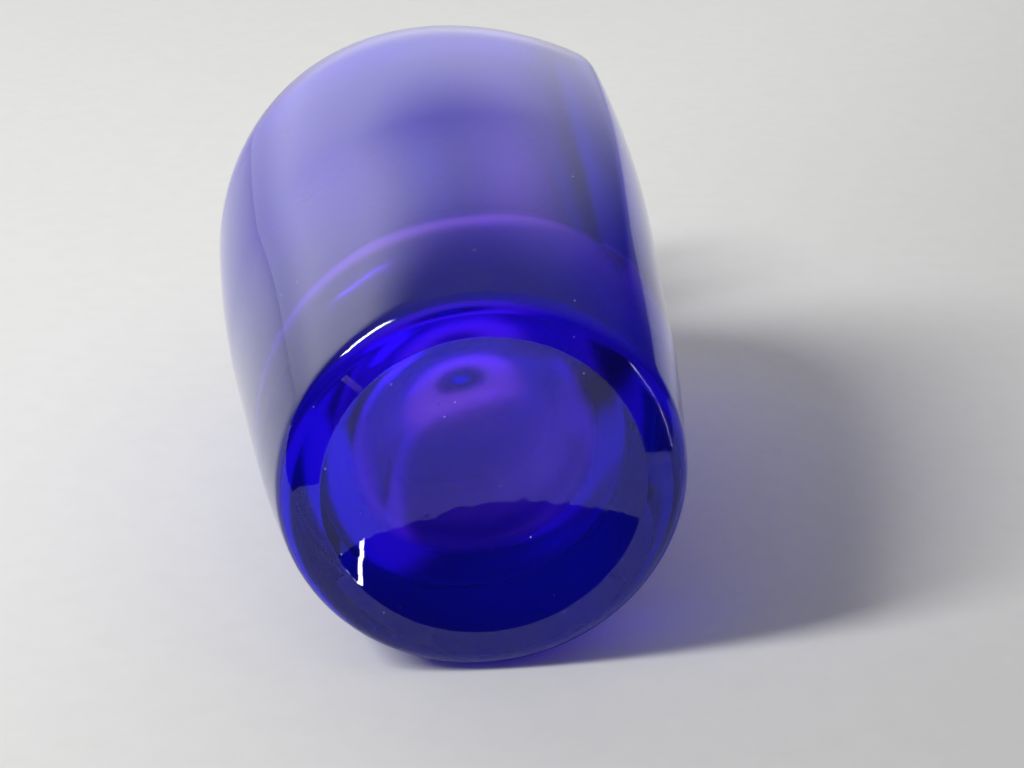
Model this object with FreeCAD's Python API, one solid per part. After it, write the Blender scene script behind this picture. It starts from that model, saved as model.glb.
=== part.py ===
import FreeCAD, Part
import math
import os

V = FreeCAD.Vector

# Cobalt glass bottle with a peg stopper in a shell cork, standing upright on the ring of its base.
# The origin is the centre of that ring. X points at a ridge, Y out of the middle of a face, Z up the neck.

# Foot: a polished dish inside a flat ring, with a rounded heel outside it
DISH_RADIUS = 17.8
DISH_DEPTH = 3.4
DISH_EDGE_ROUND = 0.7
RING_RADIUS = 20.4
HEEL_ROUND = 2.2

# Body: two faces that meet in two ridges, widest high up
BELLY_HALF_WIDTH = 31.6
BELLY_HALF_DEPTH = 27.1
BELLY_HEIGHT = 74.5
SHOULDER_TURN = 70.0
RIDGE_SHARPNESS = 3.4
RIDGE_RISE = 45.0
RIDGE_FADE_TURN = 30.0

# Neck and lip: the bore narrows downwards, so that the closure wedges in it
NECK_LENGTH = 14.6
NECK_BLEND = 5.0
MOUTH_RADIUS = 6.8
MOUTH_ROUND = 0.7
MOUTH_TAPER = 0.6
LIP_PROUD = 3.0
LIP_HEIGHT = 4.6
LIP_BLEND = 1.4

# Hollow: steeper than the outside, so the wall is thin at the neck and thickest at the belly
WALL = 2.4
BELLY_WALL = 7.2
HOLLOW_RISE = 8.5
HOLLOW_TAPER = 1.9
FLOOR_HEIGHT = 8.5
FLOOR_ROUND = 15.0

# Closure: a cork sleeve in the tapered mouth, and the stopper's peg in the sleeve
CORK_LENGTH = 11.0
CORK_WALL = 2.2
CORK_CHAMFER = 0.6
PEG_PROUD = 1.0
PEG_END_ROUND = 1.2
FLANGE_SEAT = 0.8
FLANGE_THICKNESS = 1.8
WAIST_RADIUS = 3.8
BALL_RADIUS = 7.6
BALL_BLEND = 2.0
FIT_GAP = 0.05
SEAT_GAP = 0.05

# How finely the lofts follow the profile's arcs and each face's curve
FLOOR_SECTIONS = 6
BARREL_SECTIONS = 7
SHOULDER_SECTIONS = 6
BLEND_SECTIONS = 4
FACE_POINTS = 13


def profile_point(centre, radius, angle):
    """A point of an arc in the profile plane, as (distance from the axis, height)."""
    return (centre[0] + radius * math.cos(angle), centre[1] + radius * math.sin(angle))


def spread(first, last, count):
    """Evenly spaced values from first to last, both included."""
    return [first + (last - first) * i / (count - 1) for i in range(count)]


def tangent_barrel(low_centre, low_round, half_width, height):
    """The arc that leaves a rounded corner and is widest at a height, as radius, centre and first angle."""
    reach = half_width - low_centre[0]
    rise = height - low_centre[1]
    radius = (reach**2 + rise**2 - low_round**2) / (2 * (reach - low_round))
    return radius, (half_width - radius, height), -math.asin(rise / (radius - low_round))


# The outer profile, in the plane of the ridges, is a chain of tangent arcs: heel, barrel, shoulder, blend.
turn = math.radians(SHOULDER_TURN)
heel_centre = (RING_RADIUS, HEEL_ROUND)
barrel_radius, barrel_centre, heel_lean = tangent_barrel(
    heel_centre, HEEL_ROUND, BELLY_HALF_WIDTH, BELLY_HEIGHT)
heel_end = profile_point(heel_centre, HEEL_ROUND, heel_lean)
neck_radius = MOUTH_RADIUS - MOUTH_TAPER + WALL
shoulder_radius = (BELLY_HALF_WIDTH - neck_radius) / (1 - math.cos(turn)) - NECK_BLEND
shoulder_centre = (BELLY_HALF_WIDTH - shoulder_radius, BELLY_HEIGHT)
neck_start = BELLY_HEIGHT + (shoulder_radius + NECK_BLEND) * math.sin(turn)
blend_centre = (neck_radius + NECK_BLEND, neck_start)
mouth_height = neck_start + NECK_LENGTH

# The inner profile is a chain of its own: floor, barrel, shoulder, and a blend one wall from the neck's.
hollow_half_width = BELLY_HALF_WIDTH - BELLY_WALL
hollow_height = BELLY_HEIGHT + HOLLOW_RISE
floor_centre = (hollow_half_width - HOLLOW_TAPER - FLOOR_ROUND, FLOOR_HEIGHT + FLOOR_ROUND)
inner_barrel_radius, inner_barrel_centre, floor_lean = tangent_barrel(
    floor_centre, FLOOR_ROUND, hollow_half_width, hollow_height)
inner_blend_radius = NECK_BLEND + WALL
blend_reach = blend_centre[0] - hollow_half_width
blend_rise = neck_start - hollow_height
blend_distance = math.hypot(blend_reach, blend_rise)
inner_shoulder_radius = (blend_distance**2 - inner_blend_radius**2) / (2 * (inner_blend_radius - blend_reach))
inner_shoulder_centre = (hollow_half_width - inner_shoulder_radius, hollow_height)
inner_turn = math.atan2(blend_rise, blend_reach + inner_shoulder_radius)


def flattening(height):
    """How much shallower than wide the body is: it grows above the heel and fades on the shoulder."""
    fade_start = BELLY_HEIGHT + shoulder_radius * math.sin(math.radians(RIDGE_FADE_TURN))
    grown = min(max((height - heel_end[1]) / RIDGE_RISE, 0.0), 1.0)
    left = min(max((neck_start - height) / (neck_start - fade_start), 0.0), 1.0)
    fade = left * left * (3 - 2 * left)
    return (1 - BELLY_HALF_DEPTH / BELLY_HALF_WIDTH) * math.sin(math.pi / 2 * grown) * fade


def face_curve(half_width, height, side):
    """One face's curve from ridge to ridge: round in its middle, and pinched out towards the ridges."""
    half_depth = half_width * (1 - flattening(height))
    points = []
    for share in spread(-side, side, FACE_POINTS):
        distance = half_depth + (half_width - half_depth) * abs(share)**RIDGE_SHARPNESS
        angle = share * math.pi / 2
        points.append(V(distance * math.sin(angle), side * distance * math.cos(angle), height))
    if half_depth == half_width:
        return Part.Arc(points[0], points[FACE_POINTS // 2], points[-1]).toShape()
    curve = Part.BSplineCurve()
    curve.interpolate(points)
    return curve.toShape()


def two_faced_section(point):
    """A closed outline of two equal faces, with its corners on X where the ridges run."""
    return Part.Wire([face_curve(*point, 1), face_curve(*point, -1)])


def loft(points):
    """A solid through two-faced sections at these profile points."""
    return Part.makeLoft([two_faced_section(p) for p in points], True)


def at(point):
    """A (radius, height) point, placed in the profile plane."""
    return V(point[0], 0, point[1])


def line(start, end):
    """A straight profile edge."""
    return Part.LineSegment(at(start), at(end)).toShape()


def arc(start, middle, end):
    """A round profile edge."""
    return Part.Arc(at(start), at(middle), at(end)).toShape()


def revolve(edges):
    """A solid of revolution about Z from a closed chain of profile edges."""
    return Part.Face(Part.Wire(edges)).revolve(V(0, 0, 0), V(0, 0, 1), 360)


def rounded(corner, before, after, radius):
    """The profile arc that rounds a corner between two straight runs, as (start, middle, end)."""
    towards = (at(before) - at(corner)).normalize()
    onwards = (at(after) - at(corner)).normalize()
    half = towards.getAngle(onwards) / 2
    start = at(corner) + towards * (radius / math.tan(half))
    end = at(corner) + onwards * (radius / math.tan(half))
    bisector = (towards + onwards).normalize()
    middle = at(corner) + bisector * (radius / math.sin(half) - radius)
    return tuple((p.x, p.z) for p in (start, middle, end))


def bore_radius(height):
    """The tapered mouth's radius at a height."""
    return MOUTH_RADIUS - MOUTH_TAPER * (mouth_height - height) / NECK_LENGTH


def make_foot():
    """The round disc below the body, with the heel's rounding on its outside."""
    heel_middle = profile_point(heel_centre, HEEL_ROUND, (heel_lean - math.pi / 2) / 2)
    ring_end = (RING_RADIUS, 0)
    axis_top = (0, heel_end[1])
    axis_low = (0, 0)
    return revolve([
        line(axis_low, ring_end),
        arc(ring_end, heel_middle, heel_end),
        line(heel_end, axis_top),
        line(axis_top, axis_low),
    ])


def make_dish():
    """The hollow under the base: a shallow dome whose edge rolls over onto the ring."""
    sphere_radius = (DISH_RADIUS**2 + DISH_DEPTH**2) / (2 * DISH_DEPTH)
    dome_centre = (0, DISH_DEPTH - sphere_radius)
    edge_rise = DISH_EDGE_ROUND - dome_centre[1]
    edge_reach = math.sqrt((sphere_radius + DISH_EDGE_ROUND)**2 - edge_rise**2)
    slope = math.atan2(edge_reach, edge_rise)
    edge_centre = (edge_reach, DISH_EDGE_ROUND)
    dome_top = (0, DISH_DEPTH)
    dome_middle = profile_point(dome_centre, sphere_radius, (math.pi - slope) / 2)
    dome_end = profile_point(dome_centre, sphere_radius, math.pi / 2 - slope)
    edge_middle = profile_point(edge_centre, DISH_EDGE_ROUND, -(math.pi + slope) / 2)
    edge_end = (edge_reach, 0)
    return revolve([
        arc(dome_top, dome_middle, dome_end),
        arc(dome_end, edge_middle, edge_end),
        line(edge_end, (0, 0)),
        line((0, 0), dome_top),
    ])


def make_neck():
    """The neck above the blend, with its lip laid on as a rounded ring."""
    lip_round = LIP_HEIGHT / 2
    lip_base = mouth_height - LIP_HEIGHT
    lip_radius = neck_radius + LIP_PROUD
    lip_edge = lip_radius - lip_round
    foot = (neck_radius, neck_start)
    under_lip = (neck_radius, lip_base)
    lip_low = (lip_edge, lip_base)
    lip_middle = (lip_radius, lip_base + lip_round)
    lip_top = (lip_edge, mouth_height)
    bore_low = (bore_radius(neck_start), neck_start)
    blend = rounded(under_lip, foot, lip_low, LIP_BLEND)
    mouth = rounded((MOUTH_RADIUS, mouth_height), lip_top, bore_low, MOUTH_ROUND)
    return revolve([
        line(foot, blend[0]),
        arc(*blend),
        line(blend[2], lip_low),
        arc(lip_low, lip_middle, lip_top),
        line(lip_top, mouth[0]),
        arc(*mouth),
        line(mouth[2], bore_low),
        line(bore_low, foot),
    ])


def arc_run(centre, radius, first, last, count):
    """Profile points along one arc."""
    return [profile_point(centre, radius, angle) for angle in spread(first, last, count)]


def make_bottle():
    """The blown glass: foot, two-faced body, neck and lip in one piece, hollow to the mouth."""
    barrel = arc_run(barrel_centre, barrel_radius, heel_lean, 0, BARREL_SECTIONS)
    shoulder = arc_run(shoulder_centre, shoulder_radius, 0, turn, SHOULDER_SECTIONS)
    blend = arc_run(blend_centre, NECK_BLEND, math.pi + turn, math.pi, BLEND_SECTIONS)
    body = loft([heel_end] + barrel[1:] + shoulder[1:] + blend[1:])
    floor = arc_run(floor_centre, FLOOR_ROUND, -math.pi / 2, floor_lean, FLOOR_SECTIONS)
    inner_barrel = arc_run(inner_barrel_centre, inner_barrel_radius, floor_lean, 0, BARREL_SECTIONS)
    inner_shoulder = arc_run(inner_shoulder_centre, inner_shoulder_radius, 0, inner_turn, SHOULDER_SECTIONS)
    inner_blend = arc_run(blend_centre, inner_blend_radius, math.pi + inner_turn, math.pi, BLEND_SECTIONS)
    hollow = loft(floor + inner_barrel[1:] + inner_shoulder[1:] + inner_blend[1:])
    glass = body.cut(hollow).fuse([make_foot(), make_neck()])
    return glass.cut(make_dish()).removeSplitter().Solids[0]


def sleeve_radius(height):
    """The shell cork's bore, which follows the taper of the mouth."""
    return bore_radius(height) - FIT_GAP - CORK_WALL


def make_shell_cork():
    """A tapered cork tube that fills the mouth from the rim down."""
    low = mouth_height - CORK_LENGTH
    bevel = low + CORK_CHAMFER
    corners = [
        (sleeve_radius(low), low),
        (bore_radius(low) - FIT_GAP - CORK_CHAMFER, low),
        (bore_radius(bevel) - FIT_GAP, bevel),
        (bore_radius(mouth_height) - FIT_GAP, mouth_height),
        (sleeve_radius(mouth_height), mouth_height),
    ]
    return revolve([line(a, b) for a, b in zip(corners, corners[1:] + corners[:1])])


def make_stopper():
    """A ball stopper with a flange that rests on the lip and a tapered peg in the cork."""
    tip = mouth_height - CORK_LENGTH - PEG_PROUD
    seat = mouth_height + SEAT_GAP
    peg_low = (sleeve_radius(tip) - FIT_GAP, tip)
    peg_top = (sleeve_radius(seat) - FIT_GAP, seat)
    peg_end = rounded(peg_low, (0, tip), peg_top, PEG_END_ROUND)
    flange_round = FLANGE_THICKNESS / 2
    flange_edge = MOUTH_RADIUS + MOUTH_ROUND + FLANGE_SEAT
    flange_radius = flange_edge + flange_round
    flange_top = seat + FLANGE_THICKNESS
    waist_centre = (WAIST_RADIUS + BALL_BLEND, flange_top + BALL_BLEND)
    ball_rise = math.sqrt((BALL_RADIUS + BALL_BLEND)**2 - waist_centre[0]**2)
    ball_centre = (0, waist_centre[1] + ball_rise)
    meet_angle = math.atan2(ball_rise, -waist_centre[0])
    ball_low = meet_angle - math.pi
    waist_low = (waist_centre[0], flange_top)
    waist_middle = profile_point(waist_centre, BALL_BLEND, (meet_angle + 1.5 * math.pi) / 2)
    meet = profile_point(waist_centre, BALL_BLEND, meet_angle)
    ball_middle = profile_point(ball_centre, BALL_RADIUS, (ball_low + math.pi / 2) / 2)
    crown = profile_point(ball_centre, BALL_RADIUS, math.pi / 2)
    return revolve([
        line((0, tip), peg_end[0]),
        arc(*peg_end),
        line(peg_end[2], peg_top),
        line(peg_top, (flange_edge, seat)),
        arc((flange_edge, seat), (flange_radius, seat + flange_round), (flange_edge, flange_top)),
        line((flange_edge, flange_top), waist_low),
        arc(waist_low, waist_middle, meet),
        arc(meet, ball_middle, (0, crown[1])),
        line((0, crown[1]), (0, tip)),
    ])


os.makedirs("parts", exist_ok=True)
pieces = {
    "bottle": make_bottle(),
    "shell_cork": make_shell_cork(),
    "stopper": make_stopper(),
}
for name, shape in pieces.items():
    shape.exportStep(f"parts/{name}.step")
    print(name, "solids", len(shape.Solids), "valid", shape.isValid(), "volume", round(shape.Volume, 2))
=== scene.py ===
import math

import bpy
import numpy as np
from mathutils import Matrix, Vector, noise


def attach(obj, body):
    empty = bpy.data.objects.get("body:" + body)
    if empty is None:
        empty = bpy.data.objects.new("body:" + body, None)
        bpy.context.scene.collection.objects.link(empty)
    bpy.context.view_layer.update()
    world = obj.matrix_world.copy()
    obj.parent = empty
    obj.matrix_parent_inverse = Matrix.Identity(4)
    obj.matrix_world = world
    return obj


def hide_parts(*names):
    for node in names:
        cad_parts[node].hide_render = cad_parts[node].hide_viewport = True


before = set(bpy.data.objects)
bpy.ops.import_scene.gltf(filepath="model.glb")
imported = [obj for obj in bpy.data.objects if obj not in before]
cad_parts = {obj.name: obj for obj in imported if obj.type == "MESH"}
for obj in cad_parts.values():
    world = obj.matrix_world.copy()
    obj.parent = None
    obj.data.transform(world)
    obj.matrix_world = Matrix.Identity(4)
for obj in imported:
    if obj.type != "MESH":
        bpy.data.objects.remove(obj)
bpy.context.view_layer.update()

MM = 0.001

# Sizes of the glass and the cork in millimetres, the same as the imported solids'
DISH_RADIUS = 17.8
DISH_DEPTH = 3.4
DISH_EDGE_ROUND = 0.7
RING_RADIUS = 20.4
HEEL_ROUND = 2.2
BELLY_HALF_WIDTH = 31.6
BELLY_HALF_DEPTH = 27.1
BELLY_HEIGHT = 74.5
SHOULDER_TURN = math.radians(70.0)
RIDGE_SHARPNESS = 3.4
RIDGE_RISE = 45.0
RIDGE_FADE_TURN = math.radians(30.0)
NECK_LENGTH = 14.6
NECK_BLEND = 5.0
MOUTH_RADIUS = 6.8
MOUTH_ROUND = 0.7
MOUTH_TAPER = 0.6
LIP_PROUD = 3.0
LIP_HEIGHT = 4.6
LIP_BLEND = 1.4
WALL = 2.4
BELLY_WALL = 7.2
HOLLOW_RISE = 8.5
HOLLOW_TAPER = 1.9
FLOOR_HEIGHT = 8.5
FLOOR_ROUND = 15.0
CORK_LENGTH = 11.0
CORK_WALL = 2.2
CORK_CHAMFER = 0.6
PEG_PROUD = 1.0
PEG_END_ROUND = 1.2
FLANGE_SEAT = 0.8
FLANGE_THICKNESS = 1.8
WAIST_RADIUS = 3.8
BALL_RADIUS = 7.6
BALL_BLEND = 2.0
FIT_GAP = 0.05
SEAT_GAP = 0.05

# The ridge's own small rounding, as a share of the quarter turn beside it
RIDGE_SOFTNESS = 0.012
INNER_RIDGE_SOFTNESS = 0.16

# Columns round a ring, and points along each stretch of a profile
COLUMNS = 320
ROUND_COLUMNS = 144
DISH_POINTS = 90
DISH_EDGE_POINTS = 12
HEEL_POINTS = 18
BARREL_POINTS = 70
SHOULDER_POINTS = 36
NECK_BLEND_POINTS = 14
LIP_POINTS = 20
MOUTH_POINTS = 8
BORE_POINTS = 12
INNER_BARREL_POINTS = 56
FLOOR_ROUND_POINTS = 40
FLOOR_POINTS = 12
PEG_END_POINTS = 10
PEG_POINTS = 16
SEAT_POINTS = 8
FLANGE_POINTS = 16
WAIST_POINTS = 12
BALL_POINTS = 56
SHORT_POINTS = 6
CORK_POINTS = (5, 4, 24, 6, 24)

# Waviness of the blown glass: how far the surfaces stray, over what length and between which heights
OUTER_WAVER = 0.02
OUTER_SEED = 1.7
INNER_WAVER = 0.05
INNER_SEED = 4.1
WAVER_LENGTH = 22.0
WAVER_LOW = 12.0
WAVER_HIGH = 92.0
WAVER_FADE = 10.0

# Grinding chatter in the dish
CHATTER = 0.0028
CHATTER_LENGTH = 1.1
CHATTER_SEED = 7.3

# Glass: the absorption colour per channel, and the absorption density per metre
GLASS_TINT = (0.46, 0.1, 0.975)
GLASS_DENSITY = 400.0
GLASS_IOR = 1.52

# Dust: cells per metre, a speck's radius in millimetres, the share of cells with one, and how clear it is
DUST_PER_METRE = 420.0
DUST_RADIUS = 0.11
DUST_SHARE = 0.3
DUST_CLEAR = 0.35

# Dull film on the inside: its full roughness, the heights it grows between, and the least share of it
FILM = 0.38
FILM_LOW = 8.0
FILM_HIGH = 60.0
FILM_LEAST = 0.5

# Cork: mottle and pores per metre, and the colours between which the mottle runs
CORK_ROUGHNESS = 0.85
MOTTLE_PER_METRE = 700.0
MOTTLE_DETAIL = 6.0
MOTTLE_SPAN = (0.3, 0.7)
CORK_DARK = (0.30, 0.17, 0.08, 1)
CORK_LIGHT = (0.62, 0.43, 0.25, 1)
PORES_PER_METRE = 900.0
PORE_SPAN = (0.08, 0.22)
PORE_SHADE = 0.25
PORE_BUMP = 0.5
PORE_DEPTH = 0.0002

# Camera in the part's frame, looking at the base from below: places in metres, lens and sensor in millimetres
CAMERA_AT = (0.08043, -0.1115, -0.27022)
CAMERA_FORWARD = (-0.2328, 0.3532, 0.9061)
CAMERA_RIGHT = (0.6784, 0.7266, -0.1089)
CAMERA_LENS = 98.4
CAMERA_CLIP = 0.01
SENSOR = 36.0

# The sheet of paper that the bottle lies on, and the floor under the upright part, with lengths in metres
TABLE_TILT = math.radians(19.6)
PAPER_NEAR = -0.042
PAPER_FAR = 0.9
PAPER_HALF_WIDTH = 2.0
PAPER_COLOUR = (0.86, 0.86, 0.845)
PAPER_ROUGHNESS = 0.9
PAPER_SPECULAR = 0.2
# Painted shade on the paper and the floor, darker towards the near side and the right: the lean of its
# direction, the span it darkens over in metres, and the darkest share of the colour
PAPER_PAINTED_SHADE_LEAN = (0.45, 0.9)
PAPER_PAINTED_SHADE_SPAN = (-0.1, 0.12)
PAPER_PAINTED_SHADE_DARKEST = 0.66
GRAIN_PER_METRE = 260.0
GRAIN_DETAIL = 5.0
GRAIN_SPAN = (0.3, 0.7)
GRAIN_SHADE = 0.975
GROUND_COLOUR = (0.5, 0.5, 0.495)
GROUND_GLOW = 0.48
GROUND_HALF_WIDTH = 3.0

# Lamps: the large one from the left, and a small low one that the dish mirrors as a bright stroke
WINDOW_HEIGHT = math.radians(41.0)
WINDOW_TURN = math.radians(30.0)
WINDOW_DISTANCE = 1.8
WINDOW_WIDTH = 0.36
WINDOW_TALL = 0.75
WINDOW_POWER = 30.0
STRIP_DROP = math.radians(15.0)
STRIP_TURN = math.radians(40.0)
STRIP_DISTANCE = 1.0
STRIP_WIDTH = 0.018
STRIP_TALL = 0.36
STRIP_POWER = 0.6

# Room light: a bright band far left and low over the paper, a dim top, and nearly dark low down elsewhere
ROOM_BAND = 1.55
ROOM_BAND_TURN = math.radians(30.0)
ROOM_SIDE = (0.45, 0.85)
ROOM_LOW = (0.42, 0.65)
ROOM_HORIZON = (-0.02, 0.2)
ROOM_HORIZON_SHARE = 0.55
ROOM_RISE = (0.1, 0.95)
ROOM_TOP = 0.36
ROOM_DARK = 0.04
BACKGROUND = 0.88

# Light is reflected many times inside the thick wall
MAX_BOUNCES = 48
SURFACE_BOUNCES = 32


# Profiles of the pieces: arcs and straight runs, as points (distance from the axis, height)

def tangent_barrel(low_centre, low_round, half_width, height):
    """The arc that leaves a rounded corner and is widest at a height, as radius, centre and first angle."""
    reach = half_width - low_centre[0]
    rise = height - low_centre[1]
    radius = (reach**2 + rise**2 - low_round**2) / (2 * (reach - low_round))
    return radius, (half_width - radius, height), -math.asin(rise / (radius - low_round))


neck_radius = MOUTH_RADIUS - MOUTH_TAPER + WALL
heel_centre = (RING_RADIUS, HEEL_ROUND)
barrel_radius, barrel_centre, heel_lean = tangent_barrel(
    heel_centre, HEEL_ROUND, BELLY_HALF_WIDTH, BELLY_HEIGHT)
heel_end = HEEL_ROUND + HEEL_ROUND * math.sin(heel_lean)
shoulder_radius = (BELLY_HALF_WIDTH - neck_radius) / (1 - math.cos(SHOULDER_TURN)) - NECK_BLEND
shoulder_centre = (BELLY_HALF_WIDTH - shoulder_radius, BELLY_HEIGHT)
neck_start = BELLY_HEIGHT + (shoulder_radius + NECK_BLEND) * math.sin(SHOULDER_TURN)
blend_centre = (neck_radius + NECK_BLEND, neck_start)
mouth_height = neck_start + NECK_LENGTH

hollow_half_width = BELLY_HALF_WIDTH - BELLY_WALL
hollow_height = BELLY_HEIGHT + HOLLOW_RISE
floor_centre = (hollow_half_width - HOLLOW_TAPER - FLOOR_ROUND, FLOOR_HEIGHT + FLOOR_ROUND)
inner_barrel_radius, inner_barrel_centre, floor_lean = tangent_barrel(
    floor_centre, FLOOR_ROUND, hollow_half_width, hollow_height)
inner_blend_radius = NECK_BLEND + WALL
blend_reach = blend_centre[0] - hollow_half_width
blend_rise = neck_start - hollow_height
blend_distance = math.hypot(blend_reach, blend_rise)
inner_shoulder_radius = (
    (blend_distance**2 - inner_blend_radius**2) / (2 * (inner_blend_radius - blend_reach)))
inner_shoulder_centre = (hollow_half_width - inner_shoulder_radius, hollow_height)
inner_turn = math.atan2(blend_rise, blend_reach + inner_shoulder_radius)


def arc(centre, radius, first, last, count):
    """Points along a profile arc, both ends included."""
    angles = np.linspace(first, last, count)
    return [(centre[0] + radius * math.cos(a), centre[1] + radius * math.sin(a)) for a in angles]


def straight(start, end, count):
    """Points along a straight run, both ends included."""
    return [tuple(p) for p in np.linspace(start, end, count)]


def dish_profile():
    """From the middle of the dish out to the flat ring."""
    sphere = (DISH_RADIUS**2 + DISH_DEPTH**2) / (2 * DISH_DEPTH)
    centre = (0.0, DISH_DEPTH - sphere)
    up = DISH_EDGE_ROUND - centre[1]
    out = math.sqrt((sphere + DISH_EDGE_ROUND)**2 - up**2)
    slope = math.atan2(out, up)
    dome = arc(centre, sphere, math.pi / 2, math.pi / 2 - slope, DISH_POINTS)
    edge_centre = (out, DISH_EDGE_ROUND)
    edge = arc(edge_centre, DISH_EDGE_ROUND, -math.pi / 2 - slope, -math.pi / 2, DISH_EDGE_POINTS)
    return dome + edge[1:]


def outer_profile():
    """The outside, from the middle of the dish to the mouth."""
    points = dish_profile()
    points += straight(points[-1], (RING_RADIUS, 0.0), SHORT_POINTS)[1:]
    points += arc(heel_centre, HEEL_ROUND, -math.pi / 2, heel_lean, HEEL_POINTS)[1:]
    points += arc(barrel_centre, barrel_radius, heel_lean, 0, BARREL_POINTS)[1:]
    points += arc(shoulder_centre, shoulder_radius, 0, SHOULDER_TURN, SHOULDER_POINTS)[1:]
    points += arc(blend_centre, NECK_BLEND, math.pi + SHOULDER_TURN, math.pi, NECK_BLEND_POINTS)[1:]
    lip_base = mouth_height - LIP_HEIGHT
    lip_round = LIP_HEIGHT / 2
    lip_edge = neck_radius + LIP_PROUD - lip_round
    points += straight(points[-1], (neck_radius, lip_base - LIP_BLEND), SHORT_POINTS)[1:]
    blend = (neck_radius + LIP_BLEND, lip_base - LIP_BLEND)
    points += arc(blend, LIP_BLEND, math.pi, math.pi / 2, SHORT_POINTS)[1:]
    points += arc((lip_edge, lip_base + lip_round), lip_round, -math.pi / 2, math.pi / 2, LIP_POINTS)
    return points


def inner_profile():
    """The inside, from the mouth down to the middle of the floor."""
    rim_centre = (MOUTH_RADIUS + MOUTH_ROUND, mouth_height - MOUTH_ROUND)
    points = arc(rim_centre, MOUTH_ROUND, math.pi / 2, math.pi, MOUTH_POINTS)
    points += straight(points[-1], (neck_radius - WALL, neck_start), BORE_POINTS)[1:]
    points += arc(blend_centre, inner_blend_radius, math.pi, math.pi + inner_turn, NECK_BLEND_POINTS)[1:]
    points += arc(inner_shoulder_centre, inner_shoulder_radius, inner_turn, 0, SHOULDER_POINTS)[1:]
    points += arc(inner_barrel_centre, inner_barrel_radius, 0, floor_lean, INNER_BARREL_POINTS)[1:]
    points += arc(floor_centre, FLOOR_ROUND, floor_lean, -math.pi / 2, FLOOR_ROUND_POINTS)[1:]
    points += straight(points[-1], (0.0, FLOOR_HEIGHT), FLOOR_POINTS)[1:]
    return points


def bore_radius(height):
    """The tapered mouth's radius at a height."""
    return MOUTH_RADIUS - MOUTH_TAPER * (mouth_height - height) / NECK_LENGTH


def sleeve_radius(height):
    """The shell cork's bore, which follows the taper of the mouth."""
    return bore_radius(height) - FIT_GAP - CORK_WALL


def cork_profile():
    """The closed section of the cork tube."""
    low = mouth_height - CORK_LENGTH
    bevel = low + CORK_CHAMFER
    corners = [
        (sleeve_radius(low), low),
        (bore_radius(low) - FIT_GAP - CORK_CHAMFER, low),
        (bore_radius(bevel) - FIT_GAP, bevel),
        (bore_radius(mouth_height) - FIT_GAP, mouth_height),
        (sleeve_radius(mouth_height), mouth_height),
    ]
    points = []
    for start, end, count in zip(corners, corners[1:] + corners[:1], CORK_POINTS):
        points += straight(start, end, count)[:-1]
    return points


def stopper_profile():
    """The stopper's section from the tip of the peg to the crown of the ball."""
    tip = mouth_height - CORK_LENGTH - PEG_PROUD
    seat = mouth_height + SEAT_GAP
    peg_low = sleeve_radius(tip) - FIT_GAP
    peg_top = sleeve_radius(seat) - FIT_GAP
    peg_end = (peg_low - PEG_END_ROUND, tip + PEG_END_ROUND)
    flange_round = FLANGE_THICKNESS / 2
    flange_edge = MOUTH_RADIUS + MOUTH_ROUND + FLANGE_SEAT
    flange_centre = (flange_edge, seat + flange_round)
    flange_top = seat + FLANGE_THICKNESS
    waist = (WAIST_RADIUS + BALL_BLEND, flange_top + BALL_BLEND)
    ball_rise = math.sqrt((BALL_RADIUS + BALL_BLEND)**2 - waist[0]**2)
    ball_centre = (0.0, waist[1] + ball_rise)
    meet = math.atan2(ball_rise, -waist[0])
    points = straight((0.0, tip), (peg_end[0], tip), SHORT_POINTS)
    points += arc(peg_end, PEG_END_ROUND, -math.pi / 2, 0, PEG_END_POINTS)[1:]
    points += straight(points[-1], (peg_top, seat), PEG_POINTS)[1:]
    points += straight(points[-1], (flange_edge, seat), SEAT_POINTS)[1:]
    points += arc(flange_centre, flange_round, -math.pi / 2, math.pi / 2, FLANGE_POINTS)[1:]
    points += straight(points[-1], (waist[0], flange_top), SHORT_POINTS)[1:]
    points += arc(waist, BALL_BLEND, 1.5 * math.pi, meet, WAIST_POINTS)[1:]
    points += arc(ball_centre, BALL_RADIUS, meet - math.pi, math.pi / 2, BALL_POINTS)[1:]
    return points


# Meshes

def flattening(height):
    """How much shallower than wide the body is at this height."""
    fade_start = BELLY_HEIGHT + shoulder_radius * math.sin(RIDGE_FADE_TURN)
    grown = np.clip((height - heel_end) / RIDGE_RISE, 0, 1)
    left = np.clip((neck_start - height) / (neck_start - fade_start), 0, 1)
    fade = left * left * (3 - 2 * left)
    return (1 - BELLY_HALF_DEPTH / BELLY_HALF_WIDTH) * np.sin(math.pi / 2 * grown) * fade


def turns(count):
    """The angle of each column of a ring."""
    return np.arange(count) / count * 2 * math.pi


def ring(distance, turn, height):
    """The points of one outline, from its distance from the axis at each angle."""
    return np.stack([distance * np.cos(turn), distance * np.sin(turn), np.full(len(turn), height)], 1)


def round_ring(radius, height):
    """One round outline."""
    return ring(radius, turns(ROUND_COLUMNS), height)


def faced_ring(radius, height, softness):
    """One two-faced outline, with its ridges on X."""
    turn = turns(COLUMNS)
    from_ridge = np.abs((turn / (math.pi / 2) + 1) % 2 - 1)
    soft = np.sqrt(from_ridge**2 + softness**2) - softness
    depth = radius * (1 - flattening(height))
    return ring(depth + (radius - depth) * (1 - soft)**RIDGE_SHARPNESS, turn, height)


def stray(points, amount, length, seed):
    """How far each point strays, from smooth noise over a length."""
    shift = Vector((seed, seed, seed))
    return np.array([noise.noise(Vector(p / length) + shift) for p in points]) * amount


def wavered(rows, amount, seed):
    """The rings of one blown surface, moved in and out a little between the heel and the neck."""
    out = []
    for row in rows:
        height = row[0][2]
        share = min(max(min(height - WAVER_LOW, WAVER_HIGH - height) / WAVER_FADE, 0), 1)
        if share > 0:
            scale = 1 + stray(row, amount * share, WAVER_LENGTH, seed) / np.hypot(row[:, 0], row[:, 1])
            row = np.stack([row[:, 0] * scale, row[:, 1] * scale, row[:, 2]], 1)
        out.append(row)
    return out


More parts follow.
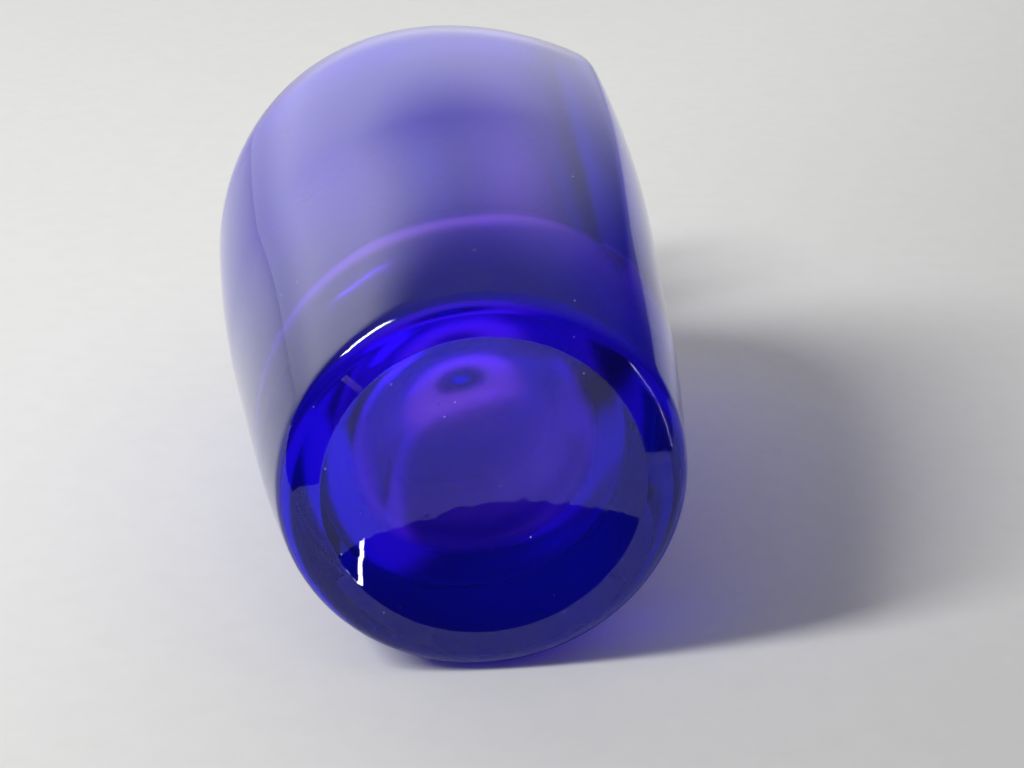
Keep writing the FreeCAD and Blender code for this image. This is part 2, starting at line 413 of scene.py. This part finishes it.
def chattered(rows):
    """The dish's rings, with the small ripples that grinding leaves."""
    out = []
    for row in rows:
        if row[0][2] > DISH_EDGE_ROUND / 2:
            row = row + np.outer(stray(row, CHATTER, CHATTER_LENGTH, CHATTER_SEED), (0, 0, 1))
        out.append(row)
    return out


def in_scene(name, data):
    """A new object of the scene, from its mesh, lamp or camera."""
    obj = bpy.data.objects.new(name, data)
    bpy.context.scene.collection.objects.link(obj)
    return obj


def mesh_piece(name, rows, ends=None):
    """A closed mesh from rings of points: between two end points on the axis, or round into itself."""
    count = len(rows[0])
    verts = np.concatenate(rows)
    faces = []
    for i in range(len(rows) if ends is None else len(rows) - 1):
        low, high = i * count, (i + 1) % len(rows) * count
        for j in range(count):
            k = (j + 1) % count
            faces.append((low + j, low + k, high + k, high + j))
    if ends is not None:
        first, last = len(verts), len(verts) + 1
        verts = np.concatenate([verts, [(0, 0, ends[0]), (0, 0, ends[1])]])
        top = (len(rows) - 1) * count
        for j in range(count):
            k = (j + 1) % count
            faces.append((first, k, j))
            faces.append((top + j, top + k, last))
    mesh = bpy.data.meshes.new(name)
    mesh.from_pydata((verts * MM).tolist(), [], faces)
    mesh.validate()
    mesh.polygons.foreach_set("use_smooth", [True] * len(mesh.polygons))
    return in_scene(name, mesh)


def make_bottle():
    """The blown glass: dish, ring, two-faced body, neck and lip, and the hollow with its film."""
    outer = outer_profile()
    inner = inner_profile()
    dish_rows = len(dish_profile()) - 1
    outside = [faced_ring(*p, RIDGE_SOFTNESS) for p in outer[1:]]
    foot = chattered(outside[:dish_rows])
    body = wavered(outside[dish_rows:], OUTER_WAVER, OUTER_SEED)
    inside = [faced_ring(*p, INNER_RIDGE_SOFTNESS) for p in inner[:-1]]
    inside = wavered(inside, INNER_WAVER, INNER_SEED)
    piece = mesh_piece("bottle_glass", foot + body + inside, (outer[0][1], inner[-1][1]))
    film = np.zeros(len(piece.data.vertices))
    first = (len(foot) + len(body)) * COLUMNS
    heights = np.concatenate(inside)[:, 2]
    share = np.clip((heights - FILM_LOW) / (FILM_HIGH - FILM_LOW), FILM_LEAST, 1)
    film[first:first + len(heights)] = share
    piece.data.attributes.new("film", "FLOAT", "POINT").data.foreach_set("value", film)
    return piece


def make_stopper():
    """The glass stopper: peg, flange, waist and ball."""
    points = stopper_profile()
    rows = [round_ring(*p) for p in points[1:-1]]
    return mesh_piece("stopper_glass", rows, (points[0][1], points[-1][1]))


def make_cork():
    """The cork tube between the neck and the peg."""
    return mesh_piece("cork_sleeve", [round_ring(*p) for p in cork_profile()])


# Materials

def new_material(name):
    """A new material with its node tree and its main shader."""
    material = bpy.data.materials.new(name)
    material.use_nodes = True
    return material, material.node_tree, material.node_tree.nodes["Principled BSDF"]


def feed(tree, socket, value):
    """Links an output to a socket, or writes a constant on the socket."""
    if isinstance(value, bpy.types.NodeSocket):
        tree.links.new(value, socket)
    else:
        socket.default_value = value


def calculate(tree, operation, a, b):
    """The result of one operation on two outputs or constants."""
    node = tree.nodes.new("ShaderNodeMath")
    node.operation = operation
    feed(tree, node.inputs[0], a)
    feed(tree, node.inputs[1], b)
    return node.outputs["Value"]


def mapped(tree, value, span, ends, curve="LINEAR"):
    """A value taken from one span to another, and held at its ends."""
    node = tree.nodes.new("ShaderNodeMapRange")
    node.interpolation_type = curve
    node.inputs["From Min"].default_value, node.inputs["From Max"].default_value = span
    node.inputs["To Min"].default_value, node.inputs["To Max"].default_value = ends
    tree.links.new(value, node.inputs["Value"])
    return node.outputs["Result"]


def dot(tree, vector, direction):
    """How far a vector reaches along a direction."""
    node = tree.nodes.new("ShaderNodeVectorMath")
    node.operation = "DOT_PRODUCT"
    node.inputs[1].default_value = direction
    tree.links.new(vector, node.inputs[0])
    return node.outputs["Value"]


def texture(tree, kind, place, scale):
    """A texture node at a place, with its scale."""
    node = tree.nodes.new(kind)
    node.inputs["Scale"].default_value = scale
    tree.links.new(place, node.inputs["Vector"])
    return node


def object_place(tree):
    """The place on the object."""
    return tree.nodes.new("ShaderNodeTexCoord").outputs["Object"]


def glass_material():
    """Cobalt glass: dull inside where its film lies, with a few specks of dust, and coloured by its depth."""
    material, tree, shader = new_material("cobalt_glass")
    shader.inputs["Base Color"].default_value = (1, 1, 1, 1)
    shader.inputs["Roughness"].default_value = 0.0
    shader.inputs["IOR"].default_value = GLASS_IOR
    shader.inputs["Transmission Weight"].default_value = 1.0
    film = tree.nodes.new("ShaderNodeAttribute")
    film.attribute_name = "film"
    dull = calculate(tree, "MULTIPLY", film.outputs["Fac"], FILM)
    tree.links.new(dull, shader.inputs["Roughness"])
    specks = texture(tree, "ShaderNodeTexVoronoi", object_place(tree), DUST_PER_METRE)
    chance = tree.nodes.new("ShaderNodeSeparateColor")
    tree.links.new(specks.outputs["Color"], chance.inputs["Color"])
    small = calculate(tree, "LESS_THAN", specks.outputs["Distance"], DUST_RADIUS * DUST_PER_METRE * MM)
    some = calculate(tree, "LESS_THAN", chance.outputs["Red"], DUST_SHARE)
    speck = calculate(tree, "MULTIPLY", small, some)
    clear = mapped(tree, speck, (0.0, 1.0), (1.0, DUST_CLEAR))
    tree.links.new(clear, shader.inputs["Transmission Weight"])
    volume = tree.nodes.new("ShaderNodeVolumeAbsorption")
    volume.inputs["Color"].default_value = (*GLASS_TINT, 1)
    volume.inputs["Density"].default_value = GLASS_DENSITY
    tree.links.new(volume.outputs["Volume"], tree.nodes["Material Output"].inputs["Volume"])
    return material


def cork_material():
    """Cut cork: mottled tan with dark pores."""
    material, tree, shader = new_material("cork")
    shader.inputs["Roughness"].default_value = CORK_ROUGHNESS
    place = object_place(tree)
    mottle = texture(tree, "ShaderNodeTexNoise", place, MOTTLE_PER_METRE)
    mottle.inputs["Detail"].default_value = MOTTLE_DETAIL
    pores = texture(tree, "ShaderNodeTexVoronoi", place, PORES_PER_METRE)
    tan = tree.nodes.new("ShaderNodeValToRGB")
    for stop, position, tone in zip(tan.color_ramp.elements, MOTTLE_SPAN, (CORK_DARK, CORK_LIGHT)):
        stop.position = position
        stop.color = tone
    tree.links.new(mottle.outputs["Fac"], tan.inputs["Fac"])
    pit = mapped(tree, pores.outputs["Distance"], PORE_SPAN, (PORE_SHADE, 1.0))
    colour = tree.nodes.new("ShaderNodeMix")
    colour.data_type = "RGBA"
    colour.blend_type = "MULTIPLY"
    colour.inputs["Factor"].default_value = 1.0
    tree.links.new(tan.outputs["Color"], colour.inputs["A"])
    tree.links.new(pit, colour.inputs["B"])
    tree.links.new(colour.outputs["Result"], shader.inputs["Base Color"])
    bump = tree.nodes.new("ShaderNodeBump")
    bump.inputs["Strength"].default_value = PORE_BUMP
    bump.inputs["Distance"].default_value = PORE_DEPTH
    tree.links.new(pit, bump.inputs["Height"])
    tree.links.new(bump.outputs["Normal"], shader.inputs["Normal"])
    return material


glass = glass_material()
cork = cork_material()
bottle = make_bottle()
stopper = make_stopper()
sleeve = make_cork()
for piece, node, body, slot, material in (
        (bottle, "bottle", "bottle", "cobalt_glass", glass),
        (stopper, "stopper", "stopper", "cobalt_glass", glass),
        (sleeve, "shell_cork", "cork", "cork", cork)):
    piece.data.materials.append(material)
    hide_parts(node)
    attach(piece, body)


# Stage

forward = Vector(CAMERA_FORWARD).normalized()
right = Vector(CAMERA_RIGHT)
right = (right - forward * right.dot(forward)).normalized()
up = right.cross(forward)
table_normal = (up * math.cos(TABLE_TILT) - forward * math.sin(TABLE_TILT)).normalized()
table_away = table_normal.cross(right)
coords = np.empty(len(bottle.data.vertices) * 3)
bottle.data.vertices.foreach_get("co", coords)
table_height = (coords.reshape(-1, 3) @ np.array(table_normal)).min()


def plane(name, centre, side_a, side_b, half_a, half_b):
    """A rectangle on the stage, facing side_a x side_b."""
    mesh = bpy.data.meshes.new(name)
    signs = ((-1, -1), (1, -1), (1, 1), (-1, 1))
    corners = [centre + side_a * a * half_a + side_b * b * half_b for a, b in signs]
    mesh.from_pydata([tuple(c) for c in corners], [], [(0, 1, 2, 3)])
    obj = in_scene(name, mesh)
    return obj


def one_sided(material, only_camera):
    """Makes a stage material clear from behind, and if asked clear to all but camera rays."""
    tree = material.node_tree
    clear = tree.nodes.new("ShaderNodeBsdfTransparent")
    mix = tree.nodes.new("ShaderNodeMixShader")
    share = tree.nodes.new("ShaderNodeNewGeometry").outputs["Backfacing"]
    if only_camera:
        path = tree.nodes.new("ShaderNodeLightPath")
        other = calculate(tree, "SUBTRACT", 1.0, path.outputs["Is Camera Ray"])
        share = calculate(tree, "MAXIMUM", other, share)
    tree.links.new(share, mix.inputs["Fac"])
    tree.links.new(tree.nodes["Principled BSDF"].outputs["BSDF"], mix.inputs[1])
    tree.links.new(clear.outputs["BSDF"], mix.inputs[2])
    tree.links.new(mix.outputs["Shader"], tree.nodes["Material Output"].inputs["Surface"])


def paper_material(name, tone_colour):
    """White paper with a faint grain, and painted shade that makes it darker towards the near side and the
    right.
    """
    material, tree, shader = new_material(name)
    shader.inputs["Roughness"].default_value = PAPER_ROUGHNESS
    shader.inputs["Specular IOR Level"].default_value = PAPER_SPECULAR
    place = object_place(tree)
    grain = texture(tree, "ShaderNodeTexNoise", place, GRAIN_PER_METRE)
    grain.inputs["Detail"].default_value = GRAIN_DETAIL
    # Painted shade: the colour darkens towards the near side and the right, standing in for light falling off
    # there
    across = dot(tree, place, table_away * PAPER_PAINTED_SHADE_LEAN[0] - right * PAPER_PAINTED_SHADE_LEAN[1])
    fade = mapped(tree, across, PAPER_PAINTED_SHADE_SPAN, (PAPER_PAINTED_SHADE_DARKEST, 1.0), "SMOOTHSTEP")
    speckle = mapped(tree, grain.outputs["Fac"], GRAIN_SPAN, (GRAIN_SHADE, 1.0))
    # The colour's share: the painted shade times the paper's own grain
    tone = calculate(tree, "MULTIPLY", fade, speckle)
    colour = tree.nodes.new("ShaderNodeVectorMath")
    colour.operation = "SCALE"
    colour.inputs[0].default_value = tone_colour
    tree.links.new(tone, colour.inputs["Scale"])
    tree.links.new(colour.outputs["Vector"], shader.inputs["Base Color"])
    return material


paper = paper_material("paper", PAPER_COLOUR)
one_sided(paper, False)
middle = table_normal * table_height + table_away * ((PAPER_NEAR + PAPER_FAR) / 2)
table = plane("table", middle, right, table_away, PAPER_HALF_WIDTH, (PAPER_FAR - PAPER_NEAR) / 2)
table.data.materials.append(paper)

# The floor takes the paper's grain and the same painted shade, and glows evenly
ground = paper_material("ground", GROUND_COLOUR)
ground_shader = ground.node_tree.nodes["Principled BSDF"]
ground_shader.inputs["Emission Color"].default_value = (1, 1, 1, 1)
ground_shader.inputs["Emission Strength"].default_value = GROUND_GLOW
one_sided(ground, True)
x_axis, y_axis = Vector((1, 0, 0)), Vector((0, 1, 0))
floor = plane("floor", Vector((0, 0, 0)), x_axis, y_axis, GROUND_HALF_WIDTH, GROUND_HALF_WIDTH)
floor.data.materials.append(ground)

world = bpy.data.worlds.new("room")
bpy.context.scene.world = world
world.use_nodes = True
room_tree = world.node_tree
view = room_tree.nodes.new("ShaderNodeTexCoord").outputs["Generated"]


def along(direction, span, ends):
    """A soft step along a direction of the room, between two values."""
    return mapped(room_tree, dot(room_tree, view, direction), span, ends, "SMOOTHSTEP")


far_left = table_away * math.cos(ROOM_BAND_TURN) - right * math.sin(ROOM_BAND_TURN)
side = along(far_left, ROOM_SIDE, (0, 1))
low = along(table_normal, ROOM_LOW, (ROOM_BAND, 0))
horizon = along(table_normal, ROOM_HORIZON, (ROOM_HORIZON_SHARE, 1))
band = calculate(room_tree, "MULTIPLY", calculate(room_tree, "MULTIPLY", side, low), horizon)
top = along(table_normal, ROOM_RISE, (ROOM_DARK, ROOM_TOP))
room = calculate(room_tree, "ADD", band, top)
path = room_tree.nodes.new("ShaderNodeLightPath")
seen = room_tree.nodes.new("ShaderNodeMix")
seen.inputs["B"].default_value = BACKGROUND
room_tree.links.new(path.outputs["Is Camera Ray"], seen.inputs["Factor"])
room_tree.links.new(room, seen.inputs["A"])
background = room_tree.nodes["Background"]
room_tree.links.new(seen.outputs["Result"], background.inputs["Strength"])
background.inputs["Color"].default_value = (1, 1, 1, 1)


def facing(side, up_side, back):
    """The turn of a lamp or camera from its own three axes."""
    return Matrix((side, up_side, back)).transposed().to_4x4()


def area_lamp(name, direction, distance, width, tall, power):
    """A rectangular lamp out along a direction, facing the part."""
    data = bpy.data.lights.new(name, "AREA")
    data.shape = "RECTANGLE"
    data.size = width
    data.size_y = tall
    data.energy = power
    lamp = in_scene(name, data)
    across = table_normal.cross(direction).normalized()
    lamp.matrix_world = facing(across, direction.cross(across), direction)
    lamp.location = direction * distance


window_side = -right * math.cos(WINDOW_TURN) - table_away * math.sin(WINDOW_TURN)
window_from = table_normal * math.sin(WINDOW_HEIGHT) + window_side * math.cos(WINDOW_HEIGHT)
area_lamp("window", window_from, WINDOW_DISTANCE, WINDOW_WIDTH, WINDOW_TALL, WINDOW_POWER)
strip_side = right * math.sin(STRIP_TURN) - table_away * math.cos(STRIP_TURN)
strip_from = strip_side * math.cos(STRIP_DROP) - table_normal * math.sin(STRIP_DROP)
area_lamp("strip", strip_from, STRIP_DISTANCE, STRIP_WIDTH, STRIP_TALL, STRIP_POWER)

camera_data = bpy.data.cameras.new("camera")
camera_data.lens = CAMERA_LENS
camera_data.sensor_width = SENSOR
camera_data.clip_start = CAMERA_CLIP
camera = in_scene("camera", camera_data)
camera.matrix_world = facing(right, up, -forward)
camera.location = CAMERA_AT
bpy.context.scene.camera = camera

bpy.context.scene.cycles.max_bounces = MAX_BOUNCES
bpy.context.scene.cycles.glossy_bounces = SURFACE_BOUNCES
bpy.context.scene.cycles.transmission_bounces = SURFACE_BOUNCES
bpy.context.scene.view_settings.view_transform = "Standard"
